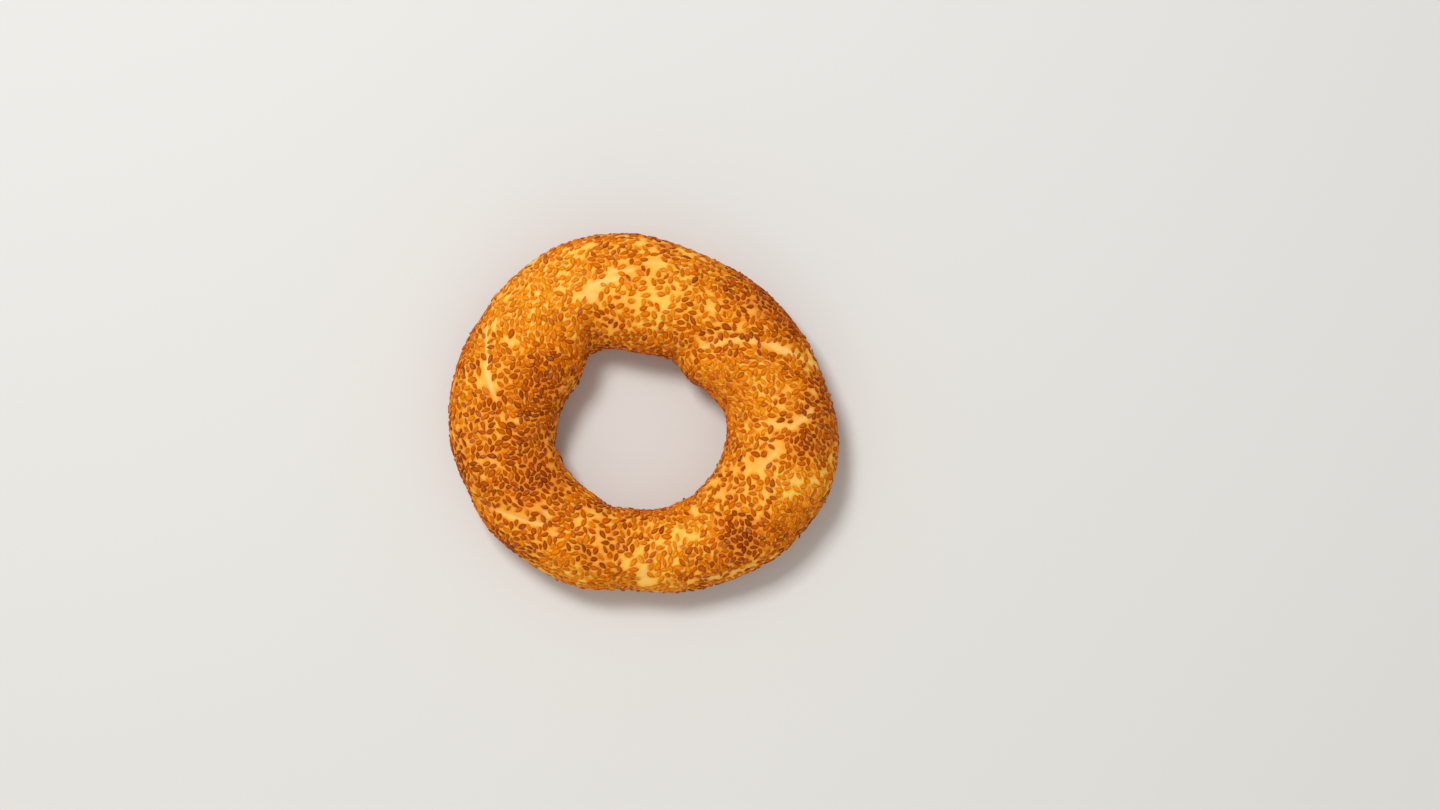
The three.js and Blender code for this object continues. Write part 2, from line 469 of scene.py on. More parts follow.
@dataclass
class Baking:
    """How brown and how bare the crust is anywhere on it; some of its browning is painted light and shade."""

    form: RingForm
    # Most patches are the oven's browning. The lighter ones on the outer side, from the upper left round to
    # the bottom, are painted light, and the darker ones on the lower-left outer edge are painted shade.
    browned: tuple[BrowningAndLightPatch, ...] = tuple(
        BrowningAndLightPatch(*patch)
        for patch in (
            (45, 60, 11, 0.48),
            (30, 63, 8, 0.25),
            (215, 48, 12, 0.50),
            (200, 43, 9, 0.25),
            (168, 39, 13, 0.38),
            (150, 36, 9, 0.15),
            (307, 60, 9, 0.50),
            (348, 61, 8, 0.54),
            (5, 66, 9, 0.48),
            (110, 33, 10, 0.16),
            (255, 43, 10, 0.14),
            (255, 58, 8, 0.20),
            (248, 70, 13, -0.52),
            (272, 69, 12, -0.34),
            (335, 65, 10, -0.42),
            (188, 60, 15, 0.15),
            (108, 50, 9, -0.30),
            (78, 42, 9, -0.30),
            (137, 60, 18, -0.40),
            (116, 62, 11, -0.20),
            (196, 72, 9, 0.34),
            (224, 70, 8, 0.30),
            (288, 47, 11, -0.18),
            (15, 36, 12, -0.25),
            (335, 41, 9, -0.05),
            (68, 56, 9, -0.12),
            (275, 60, 8, -0.20),
            (338, 67, 6, -0.15),
            (30, 44, 11, 0.06),
            (14, 47, 9, -0.16),
        )
    )
    strips: tuple[BareStrip, ...] = tuple(
        BareStrip(*strip)
        for strip in (
            ((14, 69.0), (20.5, 61.5), 1.2, 0.70, 1.00),
            ((19.5, 62.0), (29, 53.5), 2.2, 0.80, 0.88),
            ((29, 54.0), (40.5, 41.0), 1.4, 0.60, 0.80),
            ((41, 40.0), (48, 31.5), 1.5, 0.50, 0.70),
            ((54.5, 46.5), (58.5, 45.5), 1.2, 0.40, 0.70),
            ((66, 61.0), (80, 63.5), 1.1, 0.15, 0.60),
            ((73, 57.5), (88.5, 61.5), 1.1, 0.15, 0.60),
            ((82, 56.5), (89.5, 55.5), 1.0, 0.55, 0.75),
            ((76, 38.5), (77.5, 39.5), 1.5, 0.35, 0.66),
            ((82.5, 42.0), (84.5, 43.0), 1.8, 0.20, 0.66),
            ((91, 61.0), (92, 65.0), 1.4, 0.10, 0.62),
            ((94, 53.0), (104, 53.5), 1.1, 0.60, 0.70),
            ((99.5, 50.5), (112.5, 50.5), 1.7, 1.00, 0.90),
            ((106.5, 65.0), (109.5, 64.5), 2.3, 0.10, 0.70),
            ((110.5, 46.3), (118, 48.5), 1.5, 0.85, 0.90),
            ((114, 46.0), (115.5, 45.0), 1.3, 0.35, 0.62),
            ((123, 55.0), (123.5, 53.5), 1.5, 0.00, 0.66),
            ((148, 66.0), (149.5, 64.5), 1.0, 0.40, 0.70),
            ((152, 55.5), (153, 57.0), 1.1, 0.30, 0.62),
            ((152, 66.8), (158, 63.8), 1.1, 0.75, 1.00),
            ((157.5, 63.8), (172, 56.8), 1.8, 0.95, 1.00),
            ((172, 56.5), (177, 53.5), 0.7, 0.50, 0.65),
            ((180.5, 66.5), (183, 65.5), 0.8, 0.45, 0.70),
            ((183.5, 46.6), (184.7, 45.6), 1.4, 0.45, 0.75),
            ((182, 52.2), (183, 51.2), 1.3, 0.10, 0.66),
            ((192, 52.0), (192, 50.5), 1.6, 0.10, 0.66),
            ((197.5, 58.5), (199, 60.5), 1.8, 0.35, 0.70),
            ((204, 37.5), (205.5, 38.5), 1.8, 0.00, 0.62),
            ((204.5, 70.5), (212, 68.0), 0.7, 0.45, 0.65),
            ((210.5, 39.5), (213.5, 39.0), 2.3, 0.00, 0.75),
            ((213.5, 66.5), (223, 59.0), 1.5, 0.60, 0.95),
            ((222.5, 40.0), (225, 39.0), 1.6, 0.00, 0.70),
            ((223, 59.0), (229.5, 55.3), 1.1, 0.60, 0.75),
            ((226, 51.5), (228, 51.0), 1.6, 0.50, 0.80),
            ((234, 54.0), (235, 56.5), 1.4, 0.30, 0.66),
            ((235, 49.0), (244, 43.0), 0.9, 0.10, 0.44),
            ((240.5, 48.0), (241.5, 46.5), 1.6, 0.10, 0.62),
            ((263, 58.5), (265, 54.0), 1.6, 0.10, 0.70),
            ((266.5, 54.5), (269, 51.0), 1.5, 0.15, 0.66),
            ((270.5, 57.5), (271, 65.0), 3.1, 0.45, 0.85),
            ((275, 47.0), (276, 51.0), 1.4, 0.20, 0.66),
            ((283.5, 49.5), (287, 52.5), 2.0, 0.20, 0.62),
            ((285.5, 66.0), (299, 68.2), 1.0, 0.60, 0.85),
            ((297, 38.5), (297.5, 43.0), 1.7, 0.25, 0.70),
            ((298, 68.0), (313, 72.5), 1.4, 0.60, 0.95),
            ((306, 41.0), (306.5, 38.5), 1.1, 0.35, 0.66),
            ((325.5, 55.5), (326.5, 54.0), 1.6, 0.40, 0.75),
            ((322, 42.5), (326, 40.5), 1.2, 0.10, 0.62),
            ((330.5, 64.0), (332, 61.0), 1.9, 0.15, 0.70),
            ((331, 44.5), (335, 42.0), 1.5, 0.10, 0.66),
            ((334.5, 48.5), (345, 51.5), 1.5, 0.60, 0.85),
            ((336, 60.5), (335.5, 64.0), 2.6, 0.20, 0.75),
            ((337.5, 70.5), (339.5, 68.0), 1.8, 0.40, 0.80),
            ((342, 50.5), (349, 47.5), 1.3, 0.40, 0.75),
            ((355.5, 45.5), (354.5, 54.0), 1.4, 0.50, 0.70),
            ((354, 54.5), (361, 62.5), 2.1, 0.66, 1.00),
            ((361, 62.5), (368, 63.5), 0.7, 0.50, 0.65),
            ((363, 51.0), (364, 52.0), 1.4, 0.10, 0.62),
            ((367.5, 54.0), (368.5, 56.0), 1.8, 0.10, 0.70),
        )
    )
    even_toast: float = 0.36
    toast_underneath: float = 0.62
    toast_unevenness: tuple[tuple[float, float], ...] = ((0.16, 9.0 * MM), (0.22, 4.0 * MM))
    underneath_height: float = 5.0 * MM
    strip_steps: int = 16
    strip_softness: float = 0.9 * MM
    strip_waver: float = 0.55 * MM
    strip_waver_grain: float = 1.8 * MM
    strip_ends: float = 0.4
    seed_clearance: float = 0.3 * MM

    # Each picks one set of random hills from many.
    toast_hills: float = 3.7
    waver_hills: float = 8.1

    def toast(self, points: np.ndarray) -> np.ndarray:
        """How brown the crust is, with the painted light and shade of some patches in it.

        Args:
            points: points of the crust, in metres.

        Returns:
            A value at each, from 0, pale gold, to 1, dark brown.
        """
        toast = np.full(len(points), self.even_toast)
        for patch in self.browned:
            strand, tube = self.form.seen_from_above(patch.ring, patch.radius)
            middle = self.form.point(np.array([strand]), np.array([tube]))[0]
            distance = np.linalg.norm(points - middle, axis=1)
            toast += patch.strength * np.exp(-(distance / (patch.reach * MM)) ** 2)
        for spread, grain in self.toast_unevenness:
            toast += spread * soft_noise(points, grain, self.toast_hills)
        below = 1.0 - smooth_step(points[:, 2], 0.0, self.underneath_height)
        return np.clip(toast + below * (self.toast_underneath - toast), 0.0, 1.0)

    def inside(self, points: np.ndarray, strip: BareStrip, waver: np.ndarray) -> np.ndarray:
        """How far inside a strip the crust's points lie.

        Args:
            points: points of the crust, in metres.
            strip: the strip.
            waver: how far its edge wanders out at each point, in metres.

        Returns:
            A value at each, from 0, outside, to 1, inside.
        """
        (strand_a, tube_a), (strand_b, tube_b) = (
            self.form.seen_from_above(*end) for end in (strip.start, strip.end)
        )
        share = np.linspace(0.0, 1.0, self.strip_steps)
        line = self.form.point(strand_a + share * (strand_b - strand_a), tube_a + share * (tube_b - tube_a))
        fullness = self.strip_ends + (1.0 - self.strip_ends) * np.sin(np.pi * share)
        half_width = strip.width * MM / 2.0 * fullness
        gap = np.min(np.linalg.norm(points[:, None, :] - line[None], axis=2) - half_width, axis=1) - waver
        return 1.0 - smooth_step(gap, -self.strip_softness / 2.0, self.strip_softness)

    def over_strips(self, points: np.ndarray, name: str, clearance: float) -> np.ndarray:
        """The most that any strip gives each point of the crust.

        Args:
            points: points of the crust, in metres.
            name: the field of the strips that is read.
            clearance: how much wider than themselves the strips reach, in metres.

        Returns:
            A value at each point, which is 0 outside all strips.
        """
        waver = self.strip_waver * soft_noise(points, self.strip_waver_grain, self.waver_hills) + clearance
        most = np.zeros(len(points))
        for strip in self.strips:
            most = np.maximum(most, getattr(strip, name) * self.inside(points, strip, waver))
        return most

    def pale(self, points: np.ndarray) -> np.ndarray:
        """How pale the dough is, from 0, as golden as elsewhere, to 1, where it stretched most."""
        return self.over_strips(points, "paleness", 0.0)

    def bare(self, points: np.ndarray) -> np.ndarray:
        """How bare of seeds the crust is, from 0, under the full coat, to 1, where no seed has its middle."""
        return self.over_strips(points, "bareness", self.seed_clearance)


# Node trees.


def add_node(
    tree: bpy.types.NodeTree, kind: str, inputs: dict | None = None, **settings: object
) -> bpy.types.Node:
    """Adds a node, sets it up and links it.

    Args:
        tree: the tree it goes into.
        kind: the node's type name.
        inputs: input name or number to a value, to an output socket, or to a node, whose first output is
            then taken.
        settings: the node's own properties.

    Returns:
        The new node.
    """
    node = tree.nodes.new(kind)
    for name, value in settings.items():
        setattr(node, name, value)
    for key, value in (inputs or {}).items():
        if isinstance(value, bpy.types.Node):
            value = value.outputs[0]
        if isinstance(value, bpy.types.NodeSocket):
            tree.links.new(value, node.inputs[key])
        else:
            node.inputs[key].default_value = value
    return node


def around_middle(tree: bpy.types.NodeTree, value: object, spread: object) -> bpy.types.Node:
    """Shifts a value that is even around one half so that it is even around zero, and scales it."""
    centred = add_node(tree, MATHS, {0: value, 1: 0.5}, operation="SUBTRACT")
    return add_node(tree, MATHS, {0: centred, 1: spread}, operation="MULTIPLY")


@dataclass
class ShapeTree:
    """A geometry node tree with named inputs, and the modifier that runs it."""

    name: str
    tree: bpy.types.GeometryNodeTree = field(init=False)
    entry: bpy.types.Node = field(init=False)
    values: dict[str, object] = field(default_factory=dict)

    def __post_init__(self) -> None:
        """Makes the empty tree with its geometry in and out."""
        self.tree = bpy.data.node_groups.new(self.name, "GeometryNodeTree")
        for way in ("INPUT", "OUTPUT"):
            self.tree.interface.new_socket("Geometry", in_out=way, socket_type="NodeSocketGeometry")
        self.entry = self.tree.nodes.new("NodeGroupInput")

    def input(self, name: str, socket_type: str, value: object) -> bpy.types.NodeSocket:
        """Adds a named input.

        Args:
            name: the input's name.
            socket_type: its socket type.
            value: what the modifier sets it to.

        Returns:
            The socket that carries it inside the tree.
        """
        self.tree.interface.new_socket(name, in_out="INPUT", socket_type=socket_type)
        self.values[name] = value
        return self.entry.outputs[name]

    def finish(self, mesh: bpy.types.Node, material: bpy.types.NodeSocket) -> None:
        """Ends the tree.

        Args:
            mesh: the node that gives the finished geometry, which is smoothed and made real mesh.
            material: the input that holds its material.
        """
        for kind in ("GeometryNodeSetShadeSmooth", "GeometryNodeRealizeInstances"):
            mesh = add_node(self.tree, kind, {"Geometry": mesh})
        mesh = add_node(self.tree, "GeometryNodeSetMaterial", {"Geometry": mesh, "Material": material})
        add_node(self.tree, "NodeGroupOutput", {"Geometry": mesh})

    def apply_to(self, piece: bpy.types.Object) -> bpy.types.Object:
        """Runs the tree on a piece and keeps the result as its plain mesh.

        Args:
            piece: the object whose mesh goes into the tree.

        Returns:
            The same object, with the new mesh and no modifier.
        """
        modifier = piece.modifiers.new(self.name, "NODES")
        modifier.node_group = self.tree
        for item in self.tree.interface.items_tree:
            if item.item_type == "SOCKET" and item.in_out == "INPUT" and item.name in self.values:
                modifier[item.identifier] = self.values[item.name]
        bpy.context.view_layer.update()
        evaluated = piece.evaluated_get(bpy.context.evaluated_depsgraph_get())
        mesh = bpy.data.meshes.new_from_object(evaluated)
        piece.modifiers.remove(modifier)
        old = piece.data
        piece.data = mesh
        bpy.data.meshes.remove(old)
        mesh.name = piece.name
        return piece


def new_piece(name: str, points: np.ndarray, faces: list[tuple[int, ...]]) -> bpy.types.Object:
    """Makes an object and links it to the scene.

    Args:
        name: the object's name.
        points: its points, in metres.
        faces: the points of each face, by number.

    Returns:
        The object.
    """
    mesh = bpy.data.meshes.new(name)
    mesh.from_pydata([tuple(p) for p in points.tolist()], [], faces)
    piece = bpy.data.objects.new(name, mesh)
    bpy.context.scene.collection.objects.link(piece)
    return piece


def keep_values(piece: bpy.types.Object, name: str, kind: str, key: str, values: np.ndarray) -> None:
    """Keeps one value or vector for each point of a piece as a named attribute."""
    layer = piece.data.attributes.new(name, kind, "POINT")
    layer.data.foreach_set(key, np.ascontiguousarray(values, dtype=np.float32).ravel())


# Finishes.


def start_finish(name: str) -> tuple[bpy.types.Material, bpy.types.NodeTree, bpy.types.Node]:
    """Makes a material with its shader.

    Args:
        name: the material's name.

    Returns:
        The material, its tree and its Principled shader.
    """
    material = bpy.data.materials.new(name)
    material.use_nodes = True
    tree = material.node_tree
    tree.nodes.clear()
    shader = add_node(tree, "ShaderNodeBsdfPrincipled")
    add_node(tree, "ShaderNodeOutputMaterial", {"Surface": shader})
    return material, tree, shader


def add_grain(tree: bpy.types.NodeTree, size: float, detail: float = 2.0) -> bpy.types.NodeSocket:
    """Adds a noise on Object coordinates, about even around one half.

    Args:
        tree: the material's tree.
        size: how far apart its hills lie, in metres.
        detail: how many finer layers it has.

    Returns:
        The noise's value.
    """
    place = add_node(tree, "ShaderNodeTexCoord").outputs["Object"]
    inputs = {"Vector": place, "Scale": 1.0 / size, "Detail": detail}
    return add_node(tree, "ShaderNodeTexNoise", inputs).outputs["Fac"]


def lay_over(tree: bpy.types.NodeTree, ground: object, layers: tuple) -> bpy.types.NodeSocket:
    """Lays colours over a ground, one after the other.

    Args:
        tree: the material's tree.
        ground: the colour or socket underneath.
        layers: for each layer how much of it shows, as a socket or node, and its sRGB hex colour.

    Returns:
        The colour on top.
    """
    for share, hex_code in layers:
        inputs = {MIX_SHARE: share, MIX_UNDER: ground, MIX_OVER: linear_colour(hex_code)}
        ground = add_node(tree, "ShaderNodeMix", inputs, data_type="RGBA").outputs[MIXED]
    return ground


def dress_skin(
    tree: bpy.types.NodeTree,
    shader: bpy.types.Node,
    finish: CrustFinish | SesameFinish,
    colour: bpy.types.NodeSocket,
    skin: bpy.types.NodeSocket,
) -> None:
    """Gives a shader its colour, and the relief and uneven gloss of its skin.

    Args:
        tree: the material's tree.
        shader: the material's Principled shader.
        finish: the finish that holds how deep and how rough the skin is.
        colour: the colour of the surface.
        skin: the noise that the skin's relief and roughness follow.
    """
    bump = add_node(tree, "ShaderNodeBump", {"Strength": 1.0, "Distance": finish.skin_depth, "Height": skin})
    uneven = around_middle(tree, skin, finish.roughness_spread)
    rough = add_node(tree, MATHS, {0: finish.roughness, 1: uneven}, operation="ADD")
    tree.links.new(colour, shader.inputs["Base Color"])
    tree.links.new(rough.outputs[0], shader.inputs["Roughness"])
    tree.links.new(bump.outputs[0], shader.inputs["Normal"])
    shader.inputs["Specular IOR Level"].default_value = finish.gloss


@dataclass(frozen=True)
class CrustFinish:
    """Baked dough: gold where it was shaded or stretched, amber to brown where it caught the heat.

    A dark syrup has gathered round the seeds, and right at each seed its deep amber is also painted shade
    where the seed meets the dough. The swelled dough between the seeds has a painted highlight in pale cream.
    The eye sees a satin skin with small darker freckles, a deep amber line round each seed, and smooth cream
    where the dough tore its coat apart.
    """

    name: str = "baked_dough_crust"
    browning: tuple[tuple[float, str], ...] = (
        (0.0, "#f3bf52"),
        (0.35, "#efad40"),
        (0.65, "#e8993a"),
        (1.0, "#d98432"),
    )
    # The cream of stretched dough, also used for the painted highlight on the dough between the seeds.
    stretched: str = "#f6c574"
    # Syrup round the seeds; right at each seed this darker colour is also painted shade where seed meets
    # dough.
    glaze: str = "#d66b02"
    glaze_share: float = 0.78
    open_share: float = 0.15
    mottle: float = 4.0 * MM
    mottle_spread: float = 0.45
    freckle: float = 0.9 * MM
    freckle_spread: float = 0.35
    fine_detail: float = 3.0

    # The pores of real crust are finer than this and wouldn't show, so they are drawn as coarse as they need.
    skin: float = 0.5 * MM
    skin_depth: float = 0.05 * MM
    roughness: float = 0.52
    roughness_spread: float = 0.2
    gloss: float = 0.03
    glow: float = 0.5
    glow_reach: float = 1.3 * MM

    def build(self) -> bpy.types.Material:
        """Makes the material.

        Returns:
            The material, which reads the named attributes of the piece that wears it.
        """
        material, tree, shader = start_finish(self.name)
        toast, glaze, highlighted, pale = (
            add_node(tree, "ShaderNodeAttribute", attribute_name=name).outputs["Fac"]
            for name in (TOAST_AND_LIGHT, GLAZE_AND_SHADE, WEB_HIGHLIGHT, PALE)
        )
        mottles = around_middle(tree, add_grain(tree, self.mottle), self.mottle_spread)
        freckles = around_middle(tree, add_grain(tree, self.freckle, self.fine_detail), self.freckle_spread)
        mottled = add_node(tree, MATHS, {0: toast, 1: mottles}, operation="ADD")
        freckled = add_node(tree, MATHS, {0: mottled, 1: freckles}, operation="ADD")
        browned = add_node(tree, "ShaderNodeValToRGB", {"Fac": freckled})
        stops = browned.color_ramp.elements
        for _ in self.browning[len(stops):]:
            stops.new(1.0)
        for stop, (place, hex_code) in zip(stops, self.browning):
            stop.position = place
            stop.color = linear_colour(hex_code)
        # A painted highlight on the dough between the seeds.
        highlighted = add_node(tree, MATHS, {0: highlighted, 1: self.open_share}, operation="MULTIPLY")
        # Syrup with painted shade right at each seed.
        glaze = add_node(tree, MATHS, {0: glaze, 1: self.glaze_share}, operation="MULTIPLY")
        layers = ((highlighted, self.stretched), (glaze, self.glaze), (pale, self.stretched))
        colour = lay_over(tree, browned, layers)
        dress_skin(tree, shader, self, colour, add_grain(tree, self.skin, self.fine_detail))
        shader.inputs["Subsurface Weight"].default_value = self.glow
        shader.inputs["Subsurface Scale"].default_value = self.glow_reach
        return material


@dataclass(frozen=True)
class SesameFinish:
    """A toasted sesame seed: a smooth hull, lighter on its face and browner along its rim and tip.

    Part of the dark rim is painted shade at the edge where the seed meets the dough. Some seeds are ruddier
    than others, and some have a dull rosy painted sheen in patches that stands for reflected sky. The eye
    sees each seed drawn by its dark rim against the brighter dough, with a faint sheen on its face.
    """

    kind: Toasting
    face: str
    darker_face: str
    # The rim colour: the hull's browner edge, and painted shade at the edge that meets the dough.
    rim: str
    tones: tuple[float, float]
    bloom_share: float
    ruddy: str = "#cc4a00"
    ruddy_share: float = 0.35
    # A painted sheen: a dull rosy colour in patches that stands for reflected sky.
    bloom: str = "#bc7854"
    bloom_patch: float = 3.0 * MM
    bloom_start: float = 0.56
    bloom_end: float = 0.68
    # How much the rim colour with its painted shade shows.
    rim_share: float = 0.66
    patch: float = 2.2 * MM
    patch_spread: float = 1.6
    gloss: float = 0.02

    # The streaks of a real hull are finer than this and wouldn't show, so they are drawn as coarse as they
    # need.
    streak: float = 0.7 * MM
    streak_spread: float = 0.5
    skin_depth: float = 0.03 * MM
    roughness: float = 0.38
    roughness_spread: float = 0.2

    def build(self) -> bpy.types.Material:
        """Makes the material.

        Returns:
            The material, which reads the named attributes of the piece that wears it.
        """
        material, tree, shader = start_finish(f"{self.kind.name.lower()}_sesame_hull")
        tone, hue, edge = (
            add_node(tree, "ShaderNodeAttribute", attribute_name=name).outputs["Fac"]
            for name in (TONE, HUE, RIM_AND_SHADE)
        )
        low, high = self.tones
        darkness = add_node(tree, "ShaderNodeMapRange", {"Value": tone, "From Min": low, "From Max": high})
        streaks = add_grain(tree, self.streak)
        uneven = around_middle(tree, streaks, self.streak_spread)
        streaked = add_node(tree, MATHS, {0: darkness, 1: uneven}, operation="ADD")
        darker = add_node(tree, "ShaderNodeClamp", {"Value": streaked})
        flushed = add_node(tree, MATHS, {0: hue, 1: self.ruddy_share}, operation="MULTIPLY")
        # Patches of painted sheen that stand for reflected sky.
        sheened = add_node(
            tree,
            "ShaderNodeMapRange",
            {
                "Value": add_grain(tree, self.bloom_patch),
                "From Min": self.bloom_start,
                "From Max": self.bloom_end,
                "To Max": self.bloom_share,
            },
        )
        patches = around_middle(tree, add_grain(tree, self.patch), self.patch_spread)
        patchy = add_node(tree, MATHS, {0: self.rim_share, 1: patches}, operation="ADD")
        # The rim colour, partly painted shade, in patches along each seed's edge.
        rim = add_node(tree, MATHS, {0: edge, 1: patchy}, operation="MULTIPLY")
        layers = ((darker, self.darker_face), (flushed, self.ruddy), (sheened, self.bloom), (rim, self.rim))
        dress_skin(tree, shader, self, lay_over(tree, linear_colour(self.face), layers), streaks)
        return material


# Each kind with its face, darker face, rim colour with its painted shade, range of tones and share of painted
# sheen.
SESAME_FINISHES = (
    SesameFinish(Toasting.GOLDEN, "#ee9006", "#da7600", "#b84e00", (0.0, 0.26), 0.15),
    SesameFinish(Toasting.AMBER, "#da7600", "#c25e00", "#9e3c00", (0.26, 0.44), 0.3),
    SesameFinish(Toasting.BROWN, "#c25e00", "#a84a02", "#822e00", (0.44, 0.64), 0.4),
    SesameFinish(Toasting.DARK, "#a84a02", "#8a3a08", "#602000", (0.64, 1.0), 0.45),
)


# The coat of seeds.


@dataclass
class Placing:
    """Where seeds lie and which way they point."""

    strand: np.ndarray
    tube: np.ndarray
    turn: np.ndarray

    def only(self, keep: np.ndarray) -> Placing:
        """The same for some of the seeds."""
        return Placing(self.strand[keep], self.tube[keep], self.turn[keep])


@dataclass
class LaidSeeds:
    """Seeds as they lie in the crust: where, how turned, how large, how brown and how ruddy each one is."""

    middles: np.ndarray
    lie: np.ndarray
    scale: np.ndarray
    tone: np.ndarray
    hue: np.ndarray

    def only(self, keep: np.ndarray) -> LaidSeeds:
        """The same for some of the seeds."""
        return LaidSeeds(*(getattr(self, part.name)[keep] for part in fields(self)))


@dataclass
class SesameCoat:
    """The close coat of sesame seeds, laid out by a seeded rule and sorted by how brown each one is."""

    form: RingForm
    baking: Baking
    count: int = 5400
    tries: int = 40000
    length: float = 3.46 * MM
    width: float = 1.79 * MM
    thickness: float = 0.78 * MM
    size_unevenness: float = 0.11
    width_unevenness: float = 0.12
    furthest_out: float = 2.0
    spacing: float = 0.48 * MM
    tip_taper: float = 0.3
    end_point: float = 0.38
    rise: float = 0.04 * MM
    rise_unevenness: float = 0.09 * MM
    overlap_lift: float = 0.5
    lifted_share: float = 0.5
    tilt: float = 10.0
    loose_share: float = 0.08
    loose_tilt: float = 18.0
    loose_rise: float = 0.2 * MM
    floor_gap: float = 0.08 * MM
    unevenness: float = 0.14 * MM
    unevenness_size: float = 1.4 * MM
    clump_size: float = 3.6 * MM
    clump_spread: float = 0.12
    clump_hills: float = 5.3
    thinning: float = 0.25
    pushes: int = 36
    pushes_per_search: int = 4
    push_gain: float = 0.4
    turn_gain: float = 0.25
    longest_turn: float = 0.2
    longest_push: float = 0.4 * MM
    tone_unevenness: float = 0.16
    hue_power: int = 2
    sides: int = 8
    rings: int = 6
    rim_start: float = 0.26
    rim_end: float = 0.48
    cell_share: float = 0.88
    cell_margin: float = 0.06
    random_seed: int = 7431

    # A seed's outline as three round discs: how far along it each lies, as a share of its length, and the
    # disc's radius, as a share of its width.
    discs: tuple[tuple[float, float], ...] = ((-0.22, 0.47), (0.0, 0.50), (0.24, 0.36))

    def scatter(self, random: np.random.Generator) -> Placing:
        """Draws random places, even over the crust but for clumps and gaps, and none on bare dough.

        Args:
            random: the seeded stream of numbers.

        Returns:
            The places of the seeds before they are pushed apart.
        """
        strand = random.uniform(0.0, self.form.crease_count, self.tries)
        tube = random.uniform(0.0, FULL_TURN, self.tries)
        along, around, _ = self.form.ways(strand, tube)
        area = np.linalg.norm(np.cross(along, around), axis=1)
        kept = random.random(self.tries) < area / np.max(area)
        strand, tube = strand[kept], tube[kept]
        points = self.form.point(strand, tube)
        clumps = 1.0 + self.clump_spread * soft_noise(points, self.clump_size, self.clump_hills)
        bare = self.baking.bare(points)
        full = 1.0 - self.thinning * (1.0 - self.baking.toast(points))
        chance = (1.0 - bare) * full * clumps / (1.0 + self.clump_spread)
        chosen = np.flatnonzero(random.random(len(points)) < chance)[:self.count]
        log.info("drew %d places for seeds", len(chosen))
        return Placing(strand[chosen], tube[chosen], random.uniform(0.0, 2.0 * math.pi, len(chosen)))

    def axes(self, places: Placing) -> tuple[np.ndarray, np.ndarray, np.ndarray]:
        """Which way seeds lie.

        Args:
            places: the seeds' places.

        Returns:
            The way along each seed, the way across it and the way out of the crust.
        """
        along, _, normal = self.form.ways(places.strand, places.tube)
        first = unit(along)
        second = np.cross(normal, first)
        axis = np.cos(places.turn)[:, None] * first + np.sin(places.turn)[:, None] * second
        return axis, np.cross(normal, axis), normal

    def neighbours(self, points: np.ndarray) -> tuple[np.ndarray, np.ndarray]:
        """Finds the pairs of seeds that may touch.

        Args:
            points: the seeds' middles.

        Returns:
            The first and the second seed of each pair, with every pair both ways round.
        """
        tree = KDTree(len(points))
        for index, point in enumerate(points):
            tree.insert(point, index)
        tree.balance()
        pairs = [
            (index, other)
            for index, point in enumerate(points)
            for _, other, _ in tree.find_range(point, self.length)
            if other != index
        ]
        first, second = np.array(pairs).T
        return first, second

    def overlaps(
        self,
        points: np.ndarray,
        axis: np.ndarray,
        size: np.ndarray,
        first: np.ndarray,
        second: np.ndarray,
        spacing: float,
    ) -> tuple[np.ndarray, np.ndarray, np.ndarray]:
        """Measures how far seeds reach into each other.

        Args:
            points: the seeds' middles.
            axis: the way along each seed.
            size: each seed's size, 1 being the usual one.
            first: the first seed of each pair.
            second: the second seed of each pair.
            spacing: how far apart they should lie.

        Returns:
            The push on the first seed of each pair, its lever along the seed, and the deepest overlap.
        """
        push = np.zeros((len(first), 3))
        lever = np.zeros((len(first), 3))
        deepest = np.zeros(len(first))
        for place, radius in self.discs:
            here = points[first] + axis[first] * (place * self.length * size[first])[:, None]
            for other_place, other_radius in self.discs:
                there = points[second] + axis[second] * (other_place * self.length * size[second])[:, None]
                reach = self.width * (radius * size[first] + other_radius * size[second]) + spacing
                away = here - there
                distance = np.linalg.norm(away, axis=1)
                overlap = np.clip(reach - distance, 0.0, None)
                move = away / np.maximum(distance, TINY)[:, None] * overlap[:, None]
                push += move
                lever += move * place * self.length
                deepest = np.maximum(deepest, overlap)
        return push, lever, deepest

    def total(self, vectors: np.ndarray, seed: np.ndarray, count: int) -> np.ndarray:
        """Adds up the vectors that belong to each seed, one row for each of the seeds."""
        return np.stack([np.bincount(seed, vectors[:, k], count) for k in range(3)], axis=1)

    def push_apart(self, places: Placing, size: np.ndarray) -> np.ndarray:
        """Moves and turns the seeds until they lie side by side, as they do when dough is rolled in them.

        Args:
            places: the seeds' places, which are changed.
            size: each seed's size.

        Returns:
            How far each seed still reaches into another.
        """
        count = len(places.strand)
        for step in range(self.pushes + 1):
            points = self.form.point(places.strand, places.tube)
            axis, _, normal = self.axes(places)
            if step % self.pushes_per_search == 0 or step == self.pushes:
                first, second = self.neighbours(points)
            spacing = self.spacing * (1.0 - step / self.pushes)
            push, lever, deepest = self.overlaps(points, axis, size, first, second, spacing)
            if step == self.pushes:
                break
            move = self.total(push, first, count) * self.push_gain
            length = np.linalg.norm(move, axis=1, keepdims=True)
            move *= np.minimum(1.0, self.longest_push / np.maximum(length, TINY))
            twist = self.total(lever, first, count)
            turn = np.sum(np.cross(axis, twist) * normal, axis=1) / self.width**2
            turn = np.clip(self.turn_gain * turn, -self.longest_turn, self.longest_turn)
            places.turn = places.turn + turn
            self.slide(places, move)
        worst = np.zeros(count)
        np.maximum.at(worst, first, deepest)
        return worst

